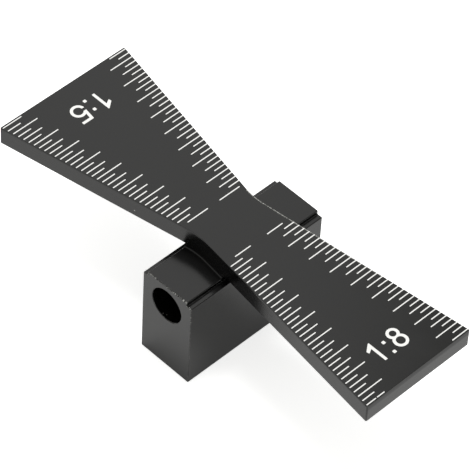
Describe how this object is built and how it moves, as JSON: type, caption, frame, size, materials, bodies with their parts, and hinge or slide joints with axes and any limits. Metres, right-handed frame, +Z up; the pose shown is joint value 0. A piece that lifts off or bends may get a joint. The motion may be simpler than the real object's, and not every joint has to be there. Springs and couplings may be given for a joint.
{
  "type": "dovetail marker",
  "caption": "Bow-tie marking template on a cross block: edges tapered 1:5 and 1:8 with a white scale, for drawing dovetail joints on wood.",
  "frame": {"origin": "centre of the block's bottom face, which is the bottom centre of the whole part's box", "axes": "+X along the plate towards the end with the 1:8 taper, +Y along the block and its bore, +Z up out of the marked face"},
  "size_m": [0.1252, 0.0452, 0.0355],
  "materials": {
    "black_anodised": "satin black anodised, milled",
    "white_marks": "matte white fill in laser-engraved marks"
  },
  "bodies": {
    "root": {"marker_body": "black_anodised", "scale_marks": "white_marks", "ratio_numerals": "white_marks"}
  },
  "joints": []
}
